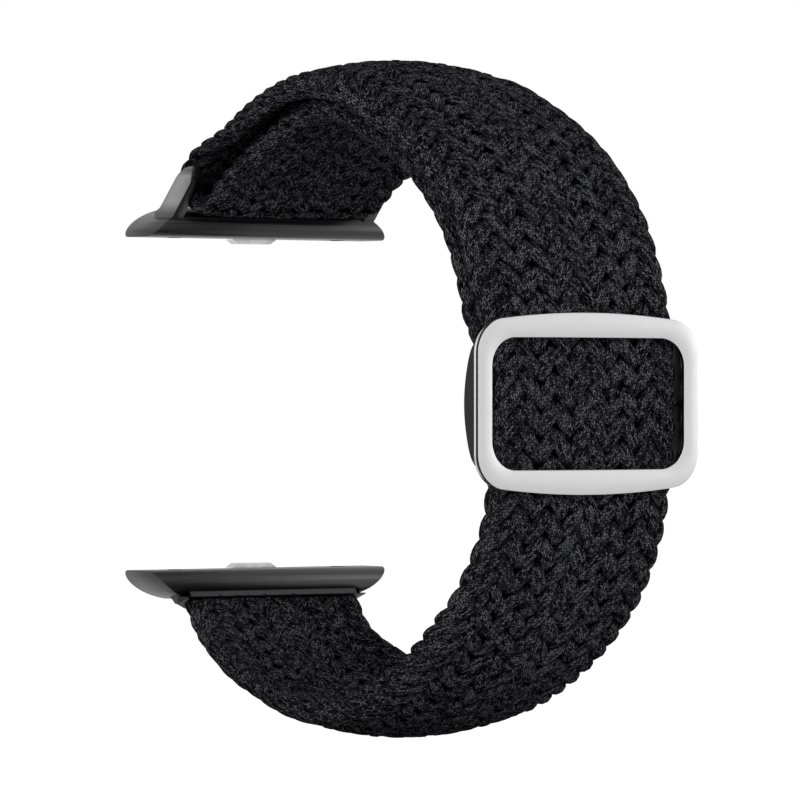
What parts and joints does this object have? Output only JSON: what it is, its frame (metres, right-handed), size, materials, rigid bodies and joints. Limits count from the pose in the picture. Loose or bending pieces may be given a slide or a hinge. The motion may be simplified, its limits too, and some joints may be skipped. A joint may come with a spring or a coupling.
{
  "type": "watch strap",
  "caption": "Braided stretch watch strap with slide-in lugs, a folded return run and a framed slider that sets its length.",
  "frame": {"origin": "centre of the lower rail, midway along its length", "axes": "+Z from the lower rail to the upper rail, +X along the rails, -Y towards the slider"},
  "size_m": [0.0332, 0.067, 0.0761],
  "materials": {
    "charcoal_braid": "matte",
    "fused_braid": "matte",
    "dark_satin_lug": "satin",
    "grey_satin_lug": "satin",
    "silver_satin_frame": "satin",
    "dark_ferrule": "satin",
    "steel_clip": "satin",
    "bright_steel": "polished",
    "spring_steel": "satin",
    "pad_rubber": "matte"
  },
  "bodies": {
    "band": {"band_run": "charcoal_braid", "band_fold": "charcoal_braid", "band_return": "charcoal_braid", "lower_fused_end": "fused_braid", "lower_braid_clip": "steel_clip", "lower_lug": "dark_satin_lug", "lower_latch_spring": "spring_steel", "lower_latch_cover": "dark_satin_lug", "lower_cover_screws": "bright_steel", "lower_end_pads": "pad_rubber"},
    "lower_latch": {"lower_latch": "bright_steel"},
    "upper_lug": {"upper_lug": "grey_satin_lug", "upper_latch_spring": "spring_steel", "upper_latch_cover": "grey_satin_lug", "upper_cover_screws": "bright_steel", "upper_end_pads": "pad_rubber"},
    "upper_latch": {"upper_latch": "bright_steel"},
    "slider": {"slider_frame": "silver_satin_frame", "end_ferrule": "dark_ferrule", "ferrule_pins": "bright_steel", "return_fused_end": "fused_braid"}
  },
  "joints": [
    {"name": "upper_lug_hinge", "type": "hinge", "parent": "band", "child": "upper_lug", "pos_m": [0, -0.0058, 0.0463], "axis": [1, 0, 0], "range_deg": [-35, 25]},
    {"name": "slider_travel", "type": "hinge", "parent": "band", "child": "slider", "pos_m": [0, -0.02015, 0.0209], "axis": [1, 0, 0], "range_deg": [-20, 24], "deforming": ["band_return"]},
    {"name": "lower_latch_press", "type": "slide", "parent": "band", "child": "lower_latch", "axis": [0, 0, -1], "range_m": [0, 0.0006], "stiffness_N_per_m": 800, "deforming": ["lower_latch_spring"]},
    {"name": "upper_latch_press", "type": "slide", "parent": "upper_lug", "child": "upper_latch", "axis": [0, 0, 1], "range_m": [0, 0.0006], "stiffness_N_per_m": 800, "deforming": ["upper_latch_spring"]}
  ]
}
